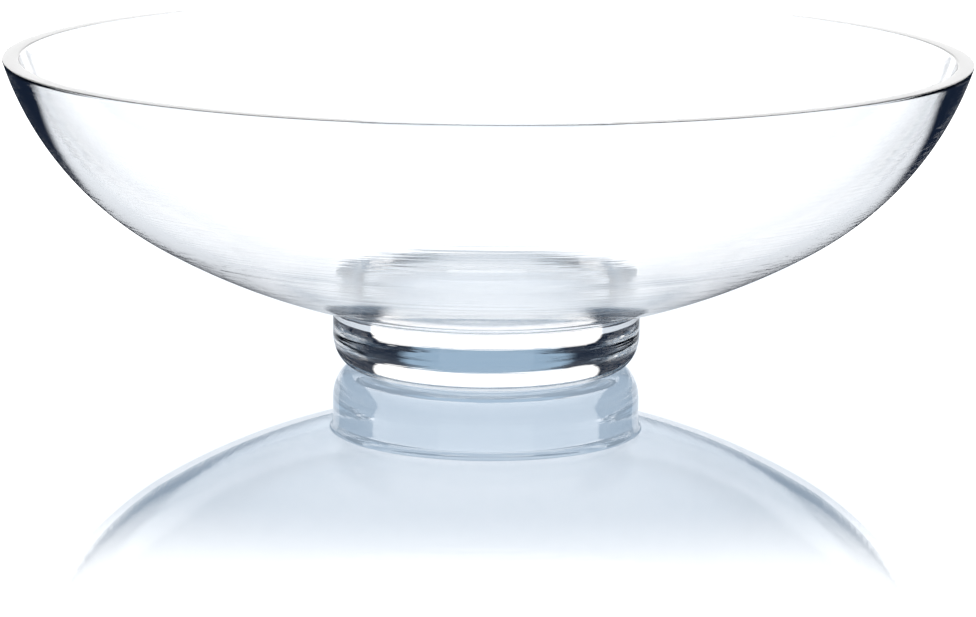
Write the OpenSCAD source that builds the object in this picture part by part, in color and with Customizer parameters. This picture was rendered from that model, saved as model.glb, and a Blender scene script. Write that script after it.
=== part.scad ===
// A wide, shallow bowl of clear glass on a solid glass disc foot.
// The bowl's section is two arcs that meet smoothly: a broad one over the foot and a tighter one up to
// the rim, which is cut flat. The wall is of even thickness, and thickens to a flat floor in the middle.
// The foot is fused to the bowl's underside, face to face.
// Origin: centre of the foot's underside, on the table. +Z up, along the axis of both pieces.

/* [Bowl] */
// Diameter across the rim
rim_d = 305; // [290:1:330]
// Height of the rim above the table
rim_h = 99.7; // [92:0.1:105]
// Thickness of the glass in the wall
wall = 5; // [3:0.5:6]
// Height of the lowest point of the bowl's underside above the table
belly_h = 13.9; // [12:0.1:15]
// Slope of the wall where the broad arc hands over to the tighter one, in degrees
turn_slope = 30.6; // [28:0.1:33]
// Slope of the wall at the rim, in degrees
rim_slope = 72.6; // [70:0.1:75]
// Width of the bevel ground on both edges of the rim
rim_bevel = 0.5; // [0.2:0.1:1]

/* [Floor of the bowl] */
// How far the flat floor stands above where the inside of the wall would reach
floor_fill = 1.5; // [0:0.1:3]
// Radius within which the floor is flat
floor_flat_r = 30; // [25:1:40]
// Radius outside which the inside follows the wall
floor_end_r = 49; // [45:1:60]

/* [Foot] */
// Diameter of the foot's straight wall
foot_d = 98.2; // [80:0.1:110]
// Width of the foot's rounded bottom edge
edge_w = 7.5; // [3:0.1:12]
// Height of the foot's rounded bottom edge
edge_h = 10.6; // [3:0.1:12]
// Height above the table at which the wall starts to flare into the bowl
flare_h = 16.1; // [14:0.1:17]
// Width of the flare
flare_w = 1.2; // [0.8:0.1:4]

/* [Quality] */
// Degrees between two points of an arc of the bowl's section
slope_step = 1; // [1:0.5:3]
// Points along each rounding of the foot
edge_steps = 12; // [6:1:24]
// Segments in a full circle
$fn = 180; // [60:12:360]

/* [Hidden] */
glass = [0.80, 0.90, 0.95, 0.55];
foot_glass = [0.35, 0.48, 0.60, 0.70];

rim_r = rim_d / 2;
foot_r = foot_d / 2;

// The two radii follow from where the section starts, hands over and ends.
rise = rim_h - belly_h;
turn_run = sin(rim_slope) - sin(turn_slope);
turn_rise = cos(turn_slope) - cos(rim_slope);
low_rise = 1 - cos(turn_slope);
det = sin(turn_slope) * turn_rise - low_rise * turn_run;
low_r = (rim_r * turn_rise - rise * turn_run) / det;
high_r = (rise * sin(turn_slope) - rim_r * low_rise) / det;

// Centres of the two arcs. The broad arc's centre is on the axis.
low_c = [0, belly_h + low_r];
high_c = low_c + (low_r - high_r) * [sin(turn_slope), -cos(turn_slope)];

// Slope of the inner face where it reaches the height of the rim
rim_slope_in = acos((high_c[1] - rim_h) / (high_r - wall));

// Slope of the underside where the foot's flare ends, and the height of that place
seam_slope = asin((foot_r + flare_w) / low_r);
seam_h = low_c[1] - low_r * cos(seam_slope);

floor_h = belly_h + wall + floor_fill;

function backward(points) = [for (i = [len(points) - 1:-1:0]) points[i]];

// All points but the last
function but_last(points) = [for (i = [0:len(points) - 2]) points[i]];

// Points of an arc of the section, from one slope to another
function arc(c, r, from, to) =
    let (n = ceil((to - from) / slope_step))
    [for (i = [0:n]) let (a = from + (to - from) * i / n) c + r * [sin(a), -cos(a)]];

// Points of a quarter of an ellipse, from its side at [c.x + w, c.y] to its end at [c.x, c.y + h]
function quarter(c, w, h) =
    [for (i = [0:edge_steps]) let (a = 90 * i / edge_steps) c + [w * cos(a), h * sin(a)]];

// 0 up to from, 1 beyond to, and a smooth step between them
function blend(x, from, to) =
    let (t = max(0, min(1, (x - from) / (to - from))))
    t * t * (3 - 2 * t);

// The outside of the bowl under the foot's glass, and the rest of the outside up to the rim
underside = arc(low_c, low_r, 0, seam_slope);
outside = concat(
    but_last(underside),
    but_last(arc(low_c, low_r, seam_slope, turn_slope)),
    arc(high_c, high_r, turn_slope, rim_slope)
);

// The inside, from the axis up to the rim: the wall's inner face, filled up to a flat floor
wall_in = arc(low_c, low_r - wall, 0, turn_slope);
inside = concat(
    [for (p = but_last(wall_in))
        [p[0], floor_h + (p[1] - floor_h) * blend(p[0], floor_flat_r, floor_end_r)]],
    arc(high_c, high_r - wall, turn_slope, rim_slope_in)
);
rim_in = inside[len(inside) - 1][0];

// The bevels, as points that take the place of the rim's two corners
bevel_out = [
    [rim_r - rim_bevel / tan(rim_slope), rim_h - rim_bevel],
    [rim_r - rim_bevel, rim_h]
];
bevel_in = [
    [rim_in + rim_bevel, rim_h],
    [rim_in - rim_bevel / tan(rim_slope_in), rim_h - rim_bevel]
];

// The foot's outside: its bottom edge bulges outwards, and its flare is hollow
bottom_edge = backward([for (p = quarter([foot_r - edge_w, 0], edge_w, edge_h)) [p[0], edge_h - p[1]]]);
flare = [for (p = quarter([0, 0], flare_w, seam_h - flare_h)) [foot_r + flare_w - p[0], flare_h + p[1]]];

module bowl() {
    color(glass) rotate_extrude() polygon(concat(
        but_last(outside), bevel_out, bevel_in, backward(but_last(inside))
    ));
}

module foot() {
    color(foot_glass) rotate_extrude() polygon(concat(
        [[0, 0]], bottom_edge, flare, backward(but_last(underside))
    ));
}

bowl();
foot();
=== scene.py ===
"""A footed bowl of clear glass on a glossy pale floor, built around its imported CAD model."""

import math

import bmesh
import bpy
from mathutils import Matrix, Vector


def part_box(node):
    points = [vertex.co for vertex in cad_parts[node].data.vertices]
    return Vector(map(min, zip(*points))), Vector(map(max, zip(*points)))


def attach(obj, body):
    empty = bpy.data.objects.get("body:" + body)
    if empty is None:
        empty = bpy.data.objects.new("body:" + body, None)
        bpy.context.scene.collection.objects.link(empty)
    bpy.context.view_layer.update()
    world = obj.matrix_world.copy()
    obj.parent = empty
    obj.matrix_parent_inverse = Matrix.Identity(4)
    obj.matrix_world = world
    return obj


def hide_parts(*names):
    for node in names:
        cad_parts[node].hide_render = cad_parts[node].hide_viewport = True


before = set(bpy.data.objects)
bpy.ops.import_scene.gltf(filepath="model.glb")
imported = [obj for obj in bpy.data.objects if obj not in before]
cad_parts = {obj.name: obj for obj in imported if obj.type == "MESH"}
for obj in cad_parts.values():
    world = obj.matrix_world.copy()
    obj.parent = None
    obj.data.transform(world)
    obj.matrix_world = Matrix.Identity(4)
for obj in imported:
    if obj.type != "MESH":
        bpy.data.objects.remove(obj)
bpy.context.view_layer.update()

# The section of the glass, in metres and radians, as the CAD has it
WALL = 0.005
TURN_SLOPE = math.radians(30.6)
RIM_SLOPE = math.radians(72.6)
RIM_ROUND = 0.0007
FLOOR_FILL = 0.0015
FLOOR_FLAT_R = 0.030
FLOOR_END_R = 0.049
FOOT_R = 0.0491
EDGE_W = 0.0075
EDGE_H = 0.0106
FLARE_H = 0.0161
FLARE_W = 0.0012

# How finely the section and the circles are drawn
SEGMENTS = 384
SEAM_STEPS = 24
LOW_STEPS = 40
INNER_STEPS = 120
HIGH_STEPS = 60
BASE_STEPS = 12
EDGE_STEPS = 40
SIDE_STEPS = 8
FLARE_STEPS = 24
SHARP_ANGLE = math.radians(25)
# Points closer together than the first are one point, and closer to the axis than the second are on it
SAME_POINT = 1e-7
ON_AXIS = 1e-6

# Waves of hand-worked glass: lobes around, radians for each metre of height, phase, and relative size
WAVES = ((2, 9, 0.4, 1.0), (3, -14, 2.1, 0.8), (5, 26, 4.0, 0.5), (9, -48, 1.2, 0.3), (14, 80, 5.1, 0.14))
WAVE_DEPTH = 0.00022

bowl_low, bowl_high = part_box("bowl")
# The CAD's circles are polygons, so its box is a little narrower than the true circle
POLYGON_GAP = 0.00012
RIM_R = bowl_high.x + POLYGON_GAP
RIM_H = bowl_high.z
BELLY_H = bowl_low.z

# Light keeps this share of its colour at each face of the glass: one tint along a stria, the other beside it
BOWL_TINTS = ((0.978, 0.99, 1.0), (0.996, 0.998, 1.0))
FOOT_TINTS = ((0.955, 0.98, 1.0), (0.985, 0.995, 1.0))
GLASS_IOR = 1.5
# Striae to a metre of section, and the depth of their relief in metres
BOWL_STRIAE, BOWL_RELIEF = 420, 0.00002
FOOT_STRIAE, FOOT_RELIEF = 700, 0.00003
# How many times to a metre a stria changes along its way, and how detailed it is
STRIA_BEND = 9
STRIA_DETAIL = 3.0
# Broader unevenness: how many to a metre, how detailed, and how strong beside the striae
BROAD_SCALE = 22.0
BROAD_DETAIL = 2.0
BROAD_SHARE = 2.0

# The studio's lights, by direction: azimuths are from the front-to-back line, heights from the horizon
SOFT_EDGE = math.radians(1)
PANEL_AZIMUTH = math.radians(35.6)
PANEL_TOP = math.radians(45)
PANEL_LIGHT = 1.3
PANEL_TINT = (1.0, 0.97, 0.94)
FILL_FROM = math.radians(72)
FILL_TO = math.radians(78)
FILL_TOP = math.radians(18)
FILL_END = math.radians(22)
FILL_LIGHT = 0.35
OVERHEAD_FROM = math.radians(52)
OVERHEAD_TO = math.radians(60)
OVERHEAD_LIGHT = 0.55
OVERHEAD_TINT = (0.55, 0.78, 1.0)
SURROUND_LIGHT = 1.8
DARK_TINT = (0.008, 0.014, 0.03)

# A count of bounces of one kind is none below ANY_BOUNCE. Ray Depth is one more than the bounces so far.
ANY_BOUNCE = 0.5
SECOND_BOUNCE = 2.5

# Half the floor's side, and how far it lies below the foot so that the two don't coincide
FLOOR_HALF = 40
FLOOR_DROP = 0.0002
# The floor as the eye sees it head on; darker, bluer painted shade that it shows close around the object at a
# grazing angle and to light turned aside in the glass; and the floor painted dimmer as it comes up through
# clear glass
FLOOR_PALE = (0.93, 0.95, 0.97)
FLOOR_PAINTED_SHADE = (0.26, 0.33, 0.41)
FLOOR_SHADE_THROUGH_GLASS = (0.74, 0.79, 0.85)
FLOOR_SHINE = 0.64
SHINE_POWER = 1.5
GRAZING_SHADE_FROM = 0.35
GRAZING_SHADE_TO = 0.76
# Places on the floor, in metres. First, where the painted shade around the object fades out to the plain pale
# floor.
FADE_FROM = 0.19
FADE_TO = 0.32
# Where light turned aside in the glass finds the clear floor again instead of painted shade, and then painted
# dark shade at the sides
BRIGHT_FROM = 0.06
BRIGHT_TO = 0.08
SIDE_SHADE_FROM = 0.155
SIDE_SHADE_TO = 0.185
SIDE_SHADE_START = 0.13
SIDE_SHADE_FULL = 0.19
# Where light that the glass mirrors finds painted dark shade, all along the sides and close around the foot
EDGE_FROM = 0.045
EDGE_TO = 0.09
NEAR_FROM = 0.03
NEAR_TO = 0.038
NEAR_FULL = 0.0535
NEAR_END = 0.058

# The camera, in metres, radians and millimetres of film, and how often light may turn
CAMERA_PLACE = (0.0005, -1.199, 0.2563)
CAMERA_DOWN = math.radians(11.25)
CAMERA_ROLL = math.radians(0.44)
CAMERA_LENS = 141.2
CAMERA_SENSOR = 36
MOST_BOUNCES = 32
MOST_MIRRORINGS = 16


def direction(slope):
    """Unit vector, in the section's (r, z) plane, from an arc's centre to where the wall has that slope."""
    return Vector((math.sin(slope), -math.cos(slope)))


def solve_arcs():
    """Radii and centres of the broad low arc and the tighter high arc of the bowl's outer face."""
    rise = RIM_H - BELLY_H
    turn_run = math.sin(RIM_SLOPE) - math.sin(TURN_SLOPE)
    turn_rise = math.cos(TURN_SLOPE) - math.cos(RIM_SLOPE)
    low_rise = 1 - math.cos(TURN_SLOPE)
    det = math.sin(TURN_SLOPE) * turn_rise - low_rise * turn_run
    low_r = (RIM_R * turn_rise - rise * turn_run) / det
    high_r = (rise * math.sin(TURN_SLOPE) - RIM_R * low_rise) / det
    low_c = Vector((0, BELLY_H + low_r))
    high_c = low_c + (low_r - high_r) * direction(TURN_SLOPE)
    return low_r, low_c, high_r, high_c


LOW_R, LOW_C, HIGH_R, HIGH_C = solve_arcs()
SEAM_SLOPE = math.asin((FOOT_R + FLARE_W) / LOW_R)
SEAM_H = LOW_C.y - LOW_R * math.cos(SEAM_SLOPE)
FLOOR_H = BELLY_H + WALL + FLOOR_FILL


def arc(centre, radius, start, end, steps):
    """Points of a circle in the section, by slope."""
    return [
        centre + radius * direction(start + (end - start) * i / steps)
        for i in range(steps + 1)
    ]


def quarter(centre, width, height, steps):
    """Points of a quarter ellipse in the section, from its side to its end above or below the centre."""
    turns = (math.pi / 2 * i / steps for i in range(steps + 1))
    return [centre + Vector((width * math.cos(a), height * math.sin(a))) for a in turns]


def line(start, end, steps):
    return [start.lerp(end, i / steps) for i in range(steps + 1)]


def blend(x, start, end):
    """0 up to start, 1 beyond end, and a smooth step between them."""
    t = max(0.0, min(1.0, (x - start) / (end - start)))
    return t * t * (3 - 2 * t)


def rounded(corner, before, after, radius, steps=6):
    """Points that round off a corner of the section between two neighbours."""
    a = corner + (before - corner).normalized() * radius
    b = corner + (after - corner).normalized() * radius
    return [
        a * (1 - t) ** 2 + corner * 2 * t * (1 - t) + b * t * t
        for t in (i / steps for i in range(steps + 1))
    ]


def waviness(angle, height):
    """How far hand-worked glass falls short of a true circle there, 0 to 1."""
    total = sum(
        size * math.sin(lobes * angle + climb * height + turn)
        for lobes, climb, turn, size in WAVES
    )
    return 0.5 + 0.5 * total / sum(wave[3] for wave in WAVES)


def lathe(name, runs):
    """Closed solid of revolution, its outline given anticlockwise from the axis at the bottom to the axis at
    the top. runs is a list of (points, material index), end to end."""
    outline, slots = [], []
    for points, index in runs:
        for p in points:
            if outline and (p - outline[-1]).length < SAME_POINT:
                continue
            if outline:
                slots.append(index)
            outline.append(p)
    turns = [2 * math.pi * k / SEGMENTS for k in range(SEGMENTS)]
    bm = bmesh.new()
    rings = []
    for p in outline:
        around = [0.0] if p.x < ON_AXIS else turns
        depth = WAVE_DEPTH * min(1.0, p.x / FOOT_R)
        radii = [p.x - depth * waviness(a, p.y) for a in around]
        rings.append([
            bm.verts.new((r * math.cos(a), r * math.sin(a), p.y))
            for a, r in zip(around, radii)
        ])
    for ring, after, index in zip(rings, rings[1:], slots):
        for k in range(SEGMENTS):
            corners = [ring[k % len(ring)], ring[(k + 1) % len(ring)]]
            corners += [after[(k + 1) % len(after)], after[k % len(after)]]
            face = bm.faces.new(list(dict.fromkeys(corners)))
            face.material_index = index
            face.smooth = True
    mesh = bpy.data.meshes.new(name)
    bm.to_mesh(mesh)
    bm.free()
    mesh.set_sharp_from_angle(angle=SHARP_ANGLE)
    piece = bpy.data.objects.new(name, mesh)
    bpy.context.scene.collection.objects.link(piece)
    return piece


def build_bowl():
    seam = arc(LOW_C, LOW_R, 0, SEAM_SLOPE, SEAM_STEPS)
    outside = arc(LOW_C, LOW_R, SEAM_SLOPE, TURN_SLOPE, LOW_STEPS)
    outside += arc(HIGH_C, HIGH_R, TURN_SLOPE, RIM_SLOPE, HIGH_STEPS)[1:]
    wall_in = arc(LOW_C, LOW_R - WALL, 0, TURN_SLOPE, INNER_STEPS)
    filled = [
        Vector((p.x, FLOOR_H + (p.y - FLOOR_H) * blend(p.x, FLOOR_FLAT_R, FLOOR_END_R)))
        for p in wall_in
    ]
    top_slope = math.acos((HIGH_C.y - RIM_H) / (HIGH_R - WALL))
    inside = filled + arc(HIGH_C, HIGH_R - WALL, TURN_SLOPE, top_slope, HIGH_STEPS)[1:]
    rim_out = rounded(outside[-1], outside[-2], inside[-1], RIM_ROUND)
    rim_in = rounded(inside[-1], outside[-1], inside[-2], RIM_ROUND)
    return lathe("glass_bowl", [
        (seam, 1),
        (outside[:-1] + rim_out + rim_in + inside[-2::-1], 0),
    ])


def build_foot():
    ground_r = FOOT_R - EDGE_W
    base = line(Vector((0, 0)), Vector((ground_r, 0)), BASE_STEPS)
    side = quarter(Vector((0, 0)), EDGE_W, EDGE_H, EDGE_STEPS)
    edge = [Vector((ground_r + p.x, EDGE_H - p.y)) for p in reversed(side)]
    wall = line(Vector((FOOT_R, EDGE_H)), Vector((FOOT_R, FLARE_H)), SIDE_STEPS)
    hollow = quarter(Vector((0, 0)), FLARE_W, SEAM_H - FLARE_H, FLARE_STEPS)
    flare = [Vector((FOOT_R + FLARE_W - p.x, FLARE_H + p.y)) for p in hollow]
    seam = arc(LOW_C, LOW_R, 0, SEAM_SLOPE, SEAM_STEPS)[::-1]
    return lathe("glass_foot", [(base + edge + wall + flare, 0), (seam, 1)])


class Tree:
    """Short calls for adding nodes to a node tree."""

    def __init__(self, owner):
        owner.use_nodes = True
        self.nodes = owner.node_tree.nodes
        self.links = owner.node_tree.links
        self.nodes.clear()

    def add(self, kind, inputs=None, **settings):
        node = self.nodes.new(kind)
        for key, value in settings.items():
            setattr(node, key, value)
        for key, value in (inputs or {}).items():
            if isinstance(value, bpy.types.NodeSocket):
                self.links.new(value, node.inputs[key])
            else:
                node.inputs[key].default_value = value
        return node

    def math(self, operation, *values):
        return self.add("ShaderNodeMath", dict(enumerate(values)), operation=operation).outputs[0]

    def mix(self, factor, start, end):
        """Colour between two, each a tuple or another node's output."""
        start, end = ((*c, 1) if isinstance(c, tuple) else c for c in (start, end))
        return self.add("ShaderNodeMix", {0: factor, 6: start, 7: end}, data_type="RGBA").outputs[2]

    def light(self, tint, strength):
        """Light from the world."""
        inputs = {"Color": (*tint, 1), "Strength": strength}
        return self.add("ShaderNodeBackground", inputs).outputs[0]

    def noise(self, place, scale, detail):
        inputs = {"Vector": place, "Scale": scale, "Detail": detail}
        return self.add("ShaderNodeTexNoise", inputs).outputs[0]

    def step(self, value, low, high):
        """0 at low, 1 at high, smooth between them; low may be the larger."""
        node = self.add("ShaderNodeMapRange", {"Value": value}, interpolation_type="SMOOTHSTEP")
        node.inputs["From Min"].default_value = low
        node.inputs["From Max"].default_value = high
        return node.outputs["Result"]


def glass_material(name, tints, striae, relief_depth):
    """Clear worked glass. Fine striae run around the piece where the hot glass was turned, and the tint
    drifts slightly with them."""
    mat = bpy.data.materials.new(name)
    tree = Tree(mat)
    place = tree.add("ShaderNodeTexCoord").outputs["Object"]
    axes = tree.add("ShaderNodeSeparateXYZ", {0: place})
    flat = tree.add("ShaderNodeVectorMath", {0: place, 1: (1, 1, 0)}, operation="MULTIPLY").outputs[0]
    radius = tree.add("ShaderNodeVectorMath", {0: flat}, operation="LENGTH").outputs["Value"]
    across = tree.math("MULTIPLY", tree.math("ADD", radius, axes.outputs["Z"]), striae)
    bend = {0: flat, 1: (STRIA_BEND,) * 3}
    slow = tree.add("ShaderNodeVectorMath", bend, operation="MULTIPLY").outputs[0]
    slow_x, slow_y, _ = tree.add("ShaderNodeSeparateXYZ", {0: slow}).outputs
    coil = tree.add("ShaderNodeCombineXYZ", {0: slow_x, 1: slow_y, 2: across}).outputs[0]
    lines = tree.noise(coil, 1.0, STRIA_DETAIL)
    broad = tree.noise(place, BROAD_SCALE, BROAD_DETAIL)
    relief = tree.math("ADD", lines, tree.math("MULTIPLY", broad, BROAD_SHARE))
    bump = {"Height": relief, "Strength": 1.0, "Distance": relief_depth}
    normal = tree.add("ShaderNodeBump", bump).outputs[0]
    cool, warm = tints
    shader = tree.add("ShaderNodeBsdfPrincipled", {
        "Base Color": tree.mix(lines, cool, warm),
        "Transmission Weight": 1,
        "Roughness": 0.0,
        "IOR": GLASS_IOR,
        "Normal": normal,
    })
    tree.add("ShaderNodeOutputMaterial", {"Surface": shader.outputs[0]})
    return mat


def seam_material():
    """The fused seam, which light crosses as if it weren't there."""
    mat = bpy.data.materials.new("fused_seam")
    tree = Tree(mat)
    clear = tree.add("ShaderNodeBsdfTransparent")
    tree.add("ShaderNodeOutputMaterial", {"Surface": clear.outputs[0]})
    return mat


def floor_material():
    """Plain pale sheet under a gloss coat that mirrors more at a grazing angle. Close around the object the
    sheet is painted with darker, bluer shade at a grazing angle, and seen through the glass it is painted
    dimmer. Light that the glass turns aside or mirrors finds painted dark shade at the sides and close around
    the foot."""
    mat = bpy.data.materials.new("floor")
    tree = Tree(mat)
    place = tree.add("ShaderNodeTexCoord").outputs["Object"]
    away = tree.add("ShaderNodeVectorMath", {0: place}, operation="LENGTH").outputs["Value"]
    axes = tree.add("ShaderNodeSeparateXYZ", {0: place})
    aside = tree.math("ABSOLUTE", axes.outputs["X"])
    along = tree.math("ABSOLUTE", axes.outputs["Y"])
    facing = tree.add("ShaderNodeLayerWeight", {"Blend": 0.5}).outputs["Facing"]
    path = tree.add("ShaderNodeLightPath").outputs

    # What the eye sees of the sheet: plain pale, with painted shade close around the object at a grazing
    # angle
    nearby = tree.step(away, FADE_TO, FADE_FROM)
    near_painted_shade = tree.math("MULTIPLY", tree.step(facing, GRAZING_SHADE_FROM, GRAZING_SHADE_TO), nearby)
    direct = tree.mix(near_painted_shade, FLOOR_PALE, FLOOR_PAINTED_SHADE)
    # What comes up through the glass, painted dimmer and bluer than the sheet head on: straight, or turned
    # aside inside it, which finds painted shade near the middle
    through = tree.math("MINIMUM", path["Transmission Depth"], 1.0)
    straight = tree.math("LESS_THAN", path["Glossy Depth"], ANY_BOUNCE)
    clear = tree.math("MAXIMUM", straight, tree.step(aside, BRIGHT_FROM, BRIGHT_TO))
    refracted = tree.mix(clear, FLOOR_PAINTED_SHADE, FLOOR_SHADE_THROUGH_GLASS)
    # Painted dark shade on the floor at the sides, found only by light turned aside in the glass
    at_sides = tree.step(aside, SIDE_SHADE_FROM, SIDE_SHADE_TO)
    painted_side_shade = tree.math("MULTIPLY", at_sides, tree.step(along, SIDE_SHADE_START, SIDE_SHADE_FULL))
    painted_side_shade = tree.math("MULTIPLY", painted_side_shade, tree.math("SUBTRACT", 1.0, straight))
    # Painted dark shade that light the glass itself mirrors finds
    first = tree.math("SUBTRACT", 1.0, tree.math("ADD", through, path["Is Camera Ray"]))
    close = tree.math("MULTIPLY", tree.step(away, NEAR_END, NEAR_FULL), tree.step(aside, NEAR_FROM, NEAR_TO))
    dark_side = tree.math("MAXIMUM", close, tree.step(aside, EDGE_FROM, EDGE_TO))
    mirrored = tree.math("MULTIPLY", first, dark_side)
    dark = tree.math("ADD", tree.math("MULTIPLY", through, painted_side_shade), mirrored)

    # Painted shade: the floor shows DARK_TINT where light turned aside or mirrored by the glass lands in the
    # painted places
    colour = tree.mix(dark, tree.mix(through, direct, refracted), DARK_TINT)
    sheet = tree.add("ShaderNodeEmission", {"Color": colour}).outputs[0]
    shine = tree.math("MULTIPLY", tree.math("POWER", facing, SHINE_POWER), FLOOR_SHINE)
    # No coat mirror where the dark shade is painted
    shine = tree.math("MULTIPLY", shine, tree.math("SUBTRACT", 1.0, dark))
    coat = tree.add("ShaderNodeBsdfGlossy", {"Color": shine, "Roughness": 0.0}).outputs[0]
    both = tree.add("ShaderNodeAddShader", {0: sheet, 1: coat}).outputs[0]
    tree.add("ShaderNodeOutputMaterial", {"Surface": both})
    return mat


def build_floor():
    corners = [(x * FLOOR_HALF, y * FLOOR_HALF, 0) for x, y in ((-1, -1), (1, -1), (1, 1), (-1, 1))]
    mesh = bpy.data.meshes.new("floor")
    mesh.from_pydata(corners, [], [(0, 1, 2, 3)])
    mesh.materials.append(floor_material())
    floor = bpy.data.objects.new("floor", mesh)
    bpy.context.scene.collection.objects.link(floor)
    floor.location.z = -FLOOR_DROP


def build_world():
    """Studio: white panels behind and in front of the object, a low fill at its sides, a cool light overhead,
    and dark between them. Light that hasn't been through glass finds a white surround instead."""
    world = bpy.data.worlds.new("studio")
    bpy.context.scene.world = world
    tree = Tree(world)
    place = tree.add("ShaderNodeTexCoord").outputs["Generated"]
    x, y, height = tree.add("ShaderNodeSeparateXYZ", {0: place}).outputs
    azimuth = tree.math("ABSOLUTE", tree.math("ARCTAN2", x, tree.math("ABSOLUTE", y)))

    in_width = tree.step(azimuth, PANEL_AZIMUTH + SOFT_EDGE, PANEL_AZIMUTH - SOFT_EDGE)
    panel_end, panel_full = math.sin(PANEL_TOP + SOFT_EDGE), math.sin(PANEL_TOP - SOFT_EDGE)
    panel = tree.math("MULTIPLY", in_width, tree.step(height, panel_end, panel_full))
    low = tree.step(height, math.sin(FILL_END), math.sin(FILL_TOP))
    fill = tree.math("MULTIPLY", tree.step(azimuth, FILL_FROM, FILL_TO), low)
    overhead = tree.step(height, math.sin(OVERHEAD_FROM), math.sin(OVERHEAD_TO))

    lights = tree.light(DARK_TINT, 1)
    for mask, tint, strength in (
        (panel, PANEL_TINT, PANEL_LIGHT),
        (fill, PANEL_TINT, FILL_LIGHT),
        (overhead, OVERHEAD_TINT, OVERHEAD_LIGHT),
    ):
        light = tree.light(tint, tree.math("MULTIPLY", mask, strength))
        lights = tree.add("ShaderNodeAddShader", {0: lights, 1: light}).outputs[0]
    path = tree.add("ShaderNodeLightPath").outputs
    early = tree.math("LESS_THAN", path["Ray Depth"], SECOND_BOUNCE)
    in_air = tree.math("LESS_THAN", path["Transmission Depth"], ANY_BOUNCE)
    surround = tree.light((1, 1, 1), SURROUND_LIGHT)
    choice = {0: tree.math("MULTIPLY", early, in_air), 1: lights, 2: surround}
    both = tree.add("ShaderNodeMixShader", choice).outputs[0]
    tree.add("ShaderNodeOutputWorld", {"Surface": both})


def build_camera():
    data = bpy.data.cameras.new("camera")
    data.sensor_width = CAMERA_SENSOR
    data.lens = CAMERA_LENS
    cam = bpy.data.objects.new("camera", data)
    bpy.context.scene.collection.objects.link(cam)
    tilt = Matrix.Rotation(math.radians(90) - CAMERA_DOWN, 4, "X")
    roll = Matrix.Rotation(CAMERA_ROLL, 4, "Z")
    cam.matrix_world = Matrix.Translation(CAMERA_PLACE) @ tilt @ roll
    bpy.context.scene.camera = cam


def finish_piece(piece, node, materials):
    for material in materials:
        piece.data.materials.append(material)
    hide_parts(node)
    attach(piece, "root")


build_camera()
build_floor()
build_world()
seam = seam_material()
bowl_glass = glass_material("bowl_glass", BOWL_TINTS, BOWL_STRIAE, BOWL_RELIEF)
finish_piece(build_bowl(), "bowl", [bowl_glass, seam])
foot_glass = glass_material("foot_glass", FOOT_TINTS, FOOT_STRIAE, FOOT_RELIEF)
finish_piece(build_foot(), "foot", [foot_glass, seam])

scene = bpy.context.scene
scene.view_settings.view_transform = "Standard"
scene.cycles.max_bounces = MOST_BOUNCES
scene.cycles.transmission_bounces = MOST_BOUNCES
scene.cycles.glossy_bounces = MOST_MIRRORINGS
scene.cycles.transparent_max_bounces = MOST_BOUNCES
